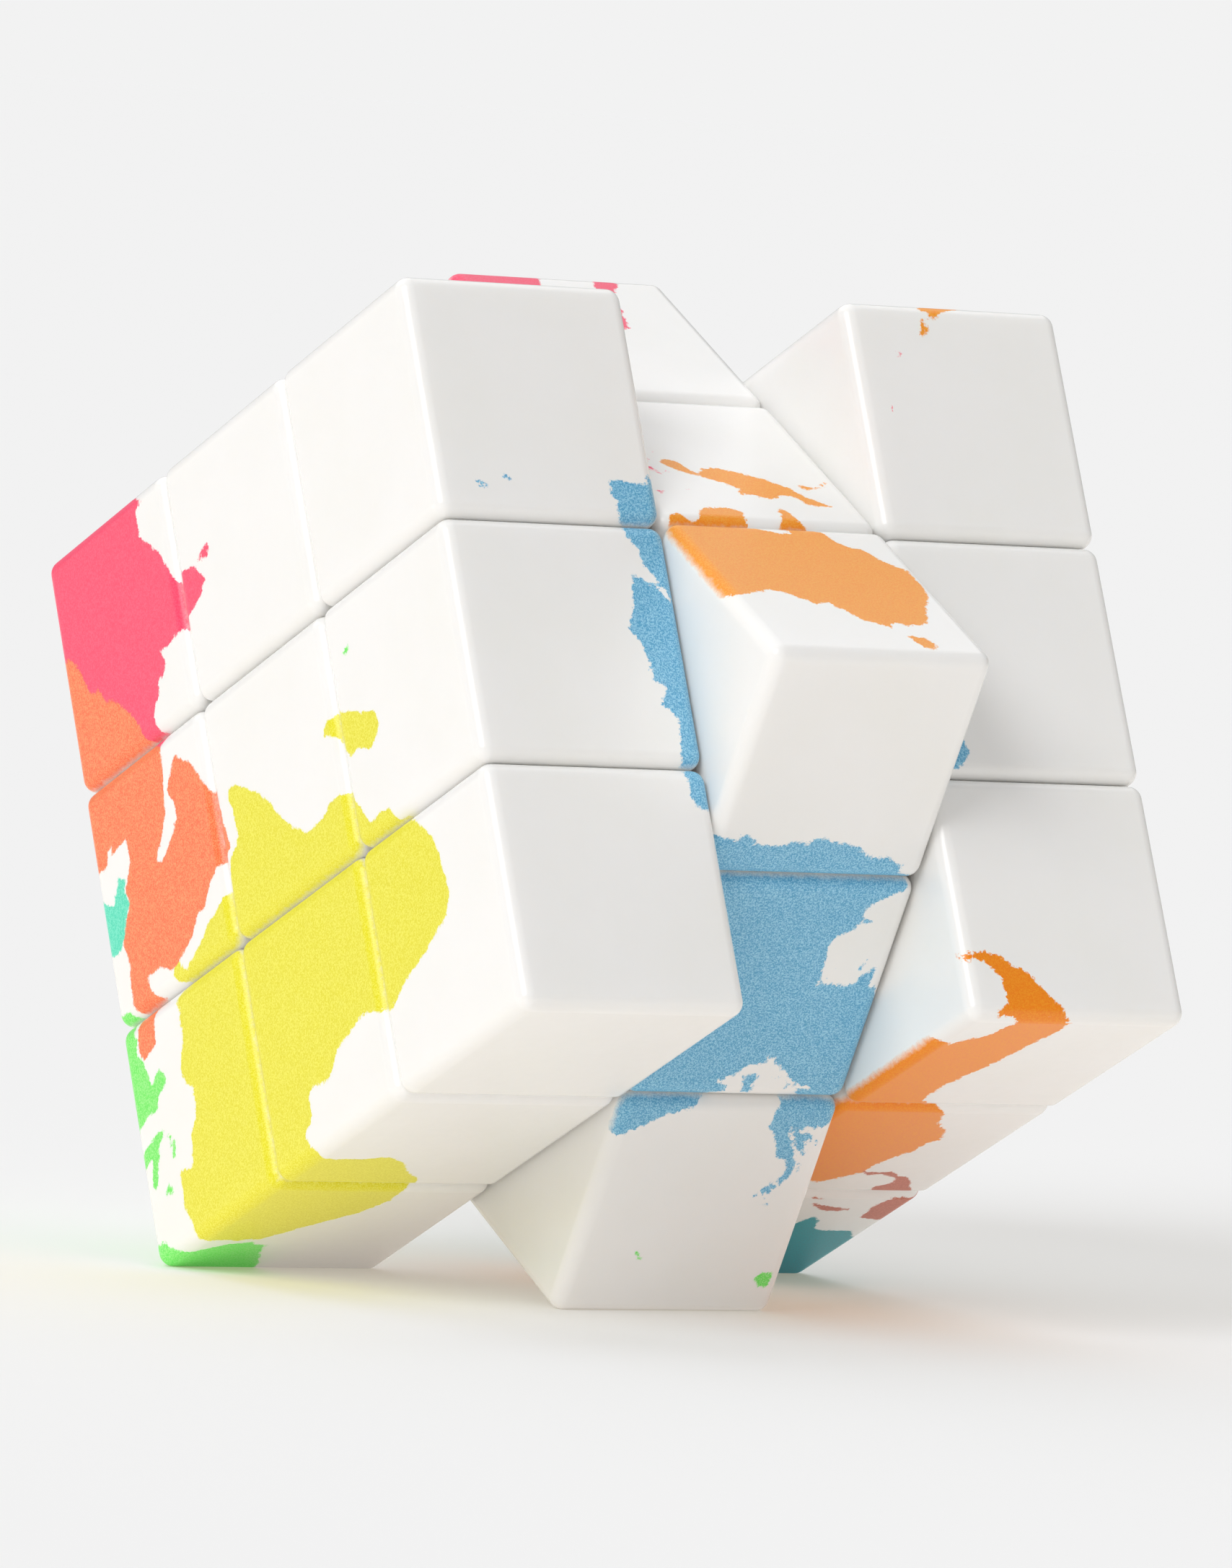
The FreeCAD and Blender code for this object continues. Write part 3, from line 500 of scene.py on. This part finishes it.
def moulded_material(name, colour, shade, roughness):
    """Plain moulded plastic for the parts inside: cloudy, with a fine mould texture."""
    g = Graph(name)
    mottle = g.remap(g.noise(**MOTTLE), 0.3, 0.7)
    flow = g.remap(g.noise(**FLOW), 0.35, 0.65)
    base = g.mix(mottle, colour, shade)
    g.link(g.mix(g.math("MULTIPLY", flow, FLOW_SHARE), base, shade), g.shader.inputs["Base Color"])
    polish = g.remap(g.noise(**POLISH), 0.25, 0.75, roughness - 0.06, roughness + 0.08)
    g.link(polish, g.shader.inputs["Roughness"])
    g.bump(g.noise(**TEXTURE), TEXTURE_DEPTH)
    return g.material


def steel_material(name, colour, roughness, stretch):
    """Bright metal with fine drawn or turned lines along one axis."""
    g = Graph(name)
    spread = g.add("ShaderNodeMapping")
    g.link(g.place, spread.inputs["Vector"])
    spread.inputs["Scale"].default_value = stretch
    g.place = spread.outputs[0]
    lines = g.noise(**LINES)
    dull = tuple(TARNISH * c for c in colour[:3]) + (1.0,)
    g.link(g.mix(g.remap(lines, 0.3, 0.7), colour, dull), g.shader.inputs["Base Color"])
    g.link(g.remap(lines, 0.2, 0.8, roughness - 0.06, roughness + 0.1), g.shader.inputs["Roughness"])
    g.bump(lines, LINE_DEPTH)
    g.shader.inputs["Metallic"].default_value = 1.0
    return g.material


# ---------------------------------------------------------------- shells


def ticks(low, high):
    """Mesh lines along one axis: close together on the rounded edges, even between."""
    bend = [ROUND * math.tan(math.pi / 4 * k / FILLET_STEPS) for k in range(1, FILLET_STEPS + 1)]
    count = round((high - low - 2 * ROUND) / CELL)
    flat = np.linspace(low + ROUND, high - ROUND, count + 1)
    return np.concatenate([[low + ROUND - b for b in reversed(bend)], flat,
                           [high - ROUND + b for b in bend]])


def rounded_block(low, high, printed, sharp_base=False):
    """A closed block with rounded edges; the printed faces, given as axes, are finely divided.

    With sharp_base the four edges round its lowest face stay sharp."""
    lines = [ticks(low[axis], high[axis]) for axis in range(3)]
    last = [len(line) - 1 for line in lines]
    mesh = bmesh.new()
    found = {}

    def corner(index):
        if index not in found:
            flat = np.array([lines[axis][index[axis]] for axis in range(3)])
            core = np.clip(flat, np.array(low) + ROUND, np.array(high) - ROUND)
            if sharp_base and flat[2] < low[2] + ROUND:
                core[2] = flat[2]
            away = flat - core
            size = np.linalg.norm(away)
            found[index] = mesh.verts.new(core + away * (ROUND / size if size else 0))
        return found[index]

    def add(indices, outward):
        corners = [corner(index) for index in indices]
        corners = [v for n, v in enumerate(corners) if v not in corners[:n]]
        if len(corners) < 3:
            return
        face = mesh.faces.new(corners)
        face.normal_update()
        if face.normal.dot(outward) < 0:
            face.normal_flip()

    for axis, end in itertools.product(range(3), (0, 1)):
        u, v = [a for a in range(3) if a != axis]
        outward = Vector((0, 0, 0))
        outward[axis] = 1 if end else -1

        def at(i, j):
            index = [0, 0, 0]
            index[axis], index[u], index[v] = last[axis] * end, i, j
            return tuple(index)

        fine = end == 1 and axis in printed
        first, stop_u, stop_v = FILLET_STEPS, last[u] - FILLET_STEPS, last[v] - FILLET_STEPS
        for i, j in itertools.product(range(last[u]), range(last[v])):
            flat = first <= i < stop_u and first <= j < stop_v
            if fine or not flat:
                add([at(i, j), at(i + 1, j), at(i + 1, j + 1), at(i, j + 1)], outward)
        if not fine:
            ring = [at(i, first) for i in range(first, stop_u)]
            ring += [at(stop_u, j) for j in range(first, stop_v)]
            ring += [at(i, stop_v) for i in range(stop_u, first, -1)]
            ring += [at(first, j) for j in range(stop_v, first, -1)]
            add(ring, outward)
    return mesh


def as_object(mesh, name):
    data = bpy.data.meshes.new(name)
    mesh.to_mesh(data)
    mesh.free()
    item = bpy.data.objects.new(name, data)
    bpy.context.scene.collection.objects.link(item)
    return item


def box_tool(low, high):
    mesh = bmesh.new()
    bmesh.ops.create_cube(mesh, size=1)
    size = np.array(high) - np.array(low)
    middle = (np.array(high) + np.array(low)) / 2
    bmesh.ops.transform(mesh, matrix=Matrix.Translation(middle) @ Matrix.Diagonal((*size, 1)),
                        verts=mesh.verts)
    return as_object(mesh, "tool")


def ball_tool(radius):
    mesh = bmesh.new()
    bmesh.ops.create_icosphere(mesh, subdivisions=BALL_STEPS, radius=radius)
    return as_object(mesh, "tool")


def hollowed(block, *tools):
    """The block less the tools, with smooth rounded edges and crisp cut ones."""
    item = as_object(block, "block")
    for tool in tools:
        cut = item.modifiers.new("cut", "BOOLEAN")
        cut.operation, cut.solver, cut.object = "DIFFERENCE", "EXACT", tool
    graph = bpy.context.evaluated_depsgraph_get()
    data = bpy.data.meshes.new_from_object(item.evaluated_get(graph))
    data.polygons.foreach_set("use_smooth", [True] * len(data.polygons))
    data.set_sharp_from_angle(angle=math.radians(CREASE))
    for used in (item, *tools):
        bpy.data.objects.remove(used)
    smooth = bpy.data.objects.new("smooth", data)
    bpy.context.scene.collection.objects.link(smooth)
    weigh = smooth.modifiers.new("normals", "WEIGHTED_NORMAL")
    weigh.keep_sharp, weigh.weight = True, 100
    graph = bpy.context.evaluated_depsgraph_get()
    result = bpy.data.meshes.new_from_object(smooth.evaluated_get(graph))
    bpy.data.objects.remove(smooth)
    return result


# The hollows' faces.
INNER = NEAR + WALL
FAR_WALL = OUTER - WALL
SLIM = SIDE - WALL

# One of each kind: the right back top corner, the back top edge and the top centre.
MASTERS = {
    "corner": hollowed(
        rounded_block([NEAR] * 3, [OUTER] * 3, printed=(0, 1, 2)),
        box_tool([INNER] * 3, [FAR_WALL] * 3),
        box_tool([0] * 3, [CORNER_SLOT] * 3),
    ),
    "edge": hollowed(
        rounded_block([-SIDE, NEAR, NEAR], [SIDE, OUTER, OUTER], printed=(1, 2)),
        box_tool([-SLIM, INNER, INNER], [SLIM, FAR_WALL, FAR_WALL]),
        ball_tool(SHELL_BITE),
    ),
    "centre": hollowed(
        rounded_block([-SIDE, -SIDE, CAP_BASE], [SIDE, SIDE, OUTER], printed=(2,), sharp_base=True),
        box_tool([-SLIM, -SLIM, CAP_BASE - BEYOND], [SLIM, SLIM, FAR_WALL]),
    ),
}

PLASTIC = shell_material()


def seat_turn(kind, signs):
    """Rotation from the master's place to the seat that the signs name."""
    axes = [Vector((s * (n == 0), s * (n == 1), s * (n == 2))) for n, s in enumerate(signs) if s]
    if kind == "corner":
        if signs[0] * signs[1] * signs[2] < 0:
            axes[0], axes[1] = axes[1], axes[0]
        first, second, third = axes
    elif kind == "edge":
        second, third = axes
        first = second.cross(third)
    else:
        third = axes[0]
        first = Vector((third.y, third.z, third.x))
        second = third.cross(first)
    return Matrix((first, second, third)).transposed().to_4x4()


def printed_piece(name, node, body, kind, signs):
    """One shell or cap with its piece of the map, in place of its CAD node."""
    data = MASTERS[kind].copy()
    data.name = name
    data.transform(seat_turn(kind, signs))
    points = np.empty(len(data.vertices) * 3)
    data.vertices.foreach_get("co", points)
    points = points.reshape(-1, 3)
    depth = OUTER - np.abs(points).max(axis=1)
    outside = depth < PRINT_END + FAR / 4
    data.attributes.new("depth", "FLOAT", "POINT").data.foreach_set("value", depth)
    for land, outlines in MAP.items():
        inside = np.full(len(points), -FAR)
        for outline in outlines:
            inside[outside] = np.maximum(inside[outside], inside_distance(points[outside], outline))
        data.attributes.new(land, "FLOAT", "POINT").data.foreach_set("value", inside)
    data.materials.clear()
    data.materials.append(PLASTIC)
    data.transform(SEAT["outer" if signs[0] else "middle"])
    piece = bpy.data.objects.new(name, data)
    bpy.context.scene.collection.objects.link(piece)
    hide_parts(node)
    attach(piece, body)


BODY_OF = {n: body for body, nodes in frame["record"]["behaviour"]["bodies"].items() for n in nodes}
KINDS = {3: ("corner", "shell"), 2: ("edge", "shell"), 1: ("centre", "cap")}
for signs in itertools.product((-1, 0, 1), repeat=3):
    if not any(signs):
        continue
    kind, part = KINDS[sum(abs(s) for s in signs)]
    faces = "_".join(face_name(axis, s) for axis, s in enumerate(signs) if s)
    node = f"{kind}_{faces}_{part}"
    printed_piece(f"printed_{kind}_{faces}", node, BODY_OF[node], kind, signs)

for master in MASTERS.values():
    bpy.data.meshes.remove(master)

# ---------------------------------------------------------------- the parts inside

INSIDE = {
    "_foot": moulded_material("foot_plastic", rgb(238, 236, 233), rgb(228, 226, 223), 0.38),
    "_body": moulded_material("centre_plastic", rgb(236, 235, 233), rgb(224, 223, 221), 0.4),
    "core": moulded_material("core_plastic", rgb(232, 232, 232), rgb(214, 214, 216), 0.36),
    "_screws": steel_material("screw_steel", rgb(196, 198, 202), 0.26, (1, 1, 6)),
    "_washers": steel_material("washer_steel", rgb(206, 207, 210), 0.32, (3, 3, 3)),
    "_springs": steel_material("spring_steel", rgb(176, 178, 184), 0.3, (2, 2, 2)),
}
for name, node in frame["nodes"].items():
    for ending, material in INSIDE.items():
        if name.endswith(ending):
            node.data.materials.clear()
            node.data.materials.append(material)

# ---------------------------------------------------------------- studio

BACKDROP = 0.888        # brightness of floor and background
SKY = 0.34              # brightness of the room's light
LAMPS = [
    # name, towards the light, strength, angle in degrees
    ("left_light", (-0.72, -0.36, 0.58), 1.36, 30),
    ("back_light", (0.0, 0.45, 0.90), 1.25, 80),
]
# The floor is a light table: the first of these is the light of its own that the camera
# sees, the second the same for the light that it sends to the object, and the third the
# floor's white for that light.
TABLE_GLOW = (0.25, 0.215, 0.15)
BOUNCE_GLOW = (0.185, 0.172, 0.155)
BOUNCE_WHITE = (0.91, 0.89, 0.865)
FLOOR_SIZE = 40.0       # metres
FIBRES = {"size": 0.4, "detail": 3}
FIBRE_SHADE = 0.996     # how dark the floor's fibres get

floor_light = SKY
for name, direction, strength, angle in LAMPS:
    lamp = bpy.data.lights.new(name, "SUN")
    lamp.energy = strength
    lamp.angle = math.radians(angle)
    holder = bpy.data.objects.new(name, lamp)
    bpy.context.scene.collection.objects.link(holder)
    holder.rotation_euler = Vector(direction).to_track_quat("Z", "Y").to_euler()
    floor_light += strength * Vector(direction).normalized().z / math.pi

world = bpy.data.worlds.new("studio")
bpy.context.scene.world = world
world.use_nodes = True
nodes, links = world.node_tree.nodes, world.node_tree.links
background = nodes["Background"]
background.inputs["Color"].default_value = (1, 1, 1, 1)
seen = nodes.new("ShaderNodeLightPath")
choose = nodes.new("ShaderNodeMapRange")
choose.inputs["To Min"].default_value = SKY
choose.inputs["To Max"].default_value = BACKDROP
links.new(seen.outputs["Is Camera Ray"], choose.inputs["Value"])
links.new(choose.outputs[0], background.inputs["Strength"])

mesh = bmesh.new()
bmesh.ops.create_grid(mesh, x_segments=1, y_segments=1, size=FLOOR_SIZE / 2)
floor = as_object(mesh, "floor")
g = Graph("floor_paper")
g.tree.nodes.remove(g.shader)
paper = g.add("ShaderNodeBsdfDiffuse")
level = [(BACKDROP - glow) / floor_light for glow in TABLE_GLOW]
fibre = g.remap(g.noise(**FIBRES), 0.2, 0.8, FIBRE_SHADE, 1.0)
looked_at = g.add("ShaderNodeLightPath").outputs["Is Camera Ray"]
seen_white = g.mix(fibre, (0, 0, 0, 1), (*level, 1))
g.link(g.mix(looked_at, (*BOUNCE_WHITE, 1), seen_white), paper.inputs["Color"])
lit = g.add("ShaderNodeEmission")
g.link(g.mix(looked_at, (*BOUNCE_GLOW, 1), (*TABLE_GLOW, 1)), lit.inputs["Color"])
both = g.add("ShaderNodeAddShader")
g.link(paper.outputs[0], both.inputs[0])
g.link(lit.outputs[0], both.inputs[1])
g.link(both.outputs[0], g.tree.nodes["Material Output"].inputs["Surface"])
floor.data.materials.append(g.material)

# ---------------------------------------------------------------- camera

SENSOR = 36.0           # mm
LENS = 284.4            # mm
SIGHT = 200.0           # how far the camera sees, metres
STAND = Vector((-478.53, -795.23, 91.62)) * MM
VIEW = Vector((0.51537, 0.85504, -0.05742)).normalized()
UP = Vector((-0.02995, 0.08494, 0.99594))
RIGHT = VIEW.cross(UP).normalized()

camera_data = bpy.data.cameras.new("camera")
camera_data.sensor_width = SENSOR
camera_data.lens = LENS
camera_data.clip_end = SIGHT
camera = bpy.data.objects.new("camera", camera_data)
bpy.context.scene.collection.objects.link(camera)
turned = Matrix((RIGHT, RIGHT.cross(VIEW), -VIEW)).transposed().to_4x4()
camera.matrix_world = Matrix.Translation(STAND) @ turned
bpy.context.scene.camera = camera
bpy.context.scene.view_settings.view_transform = "Standard"
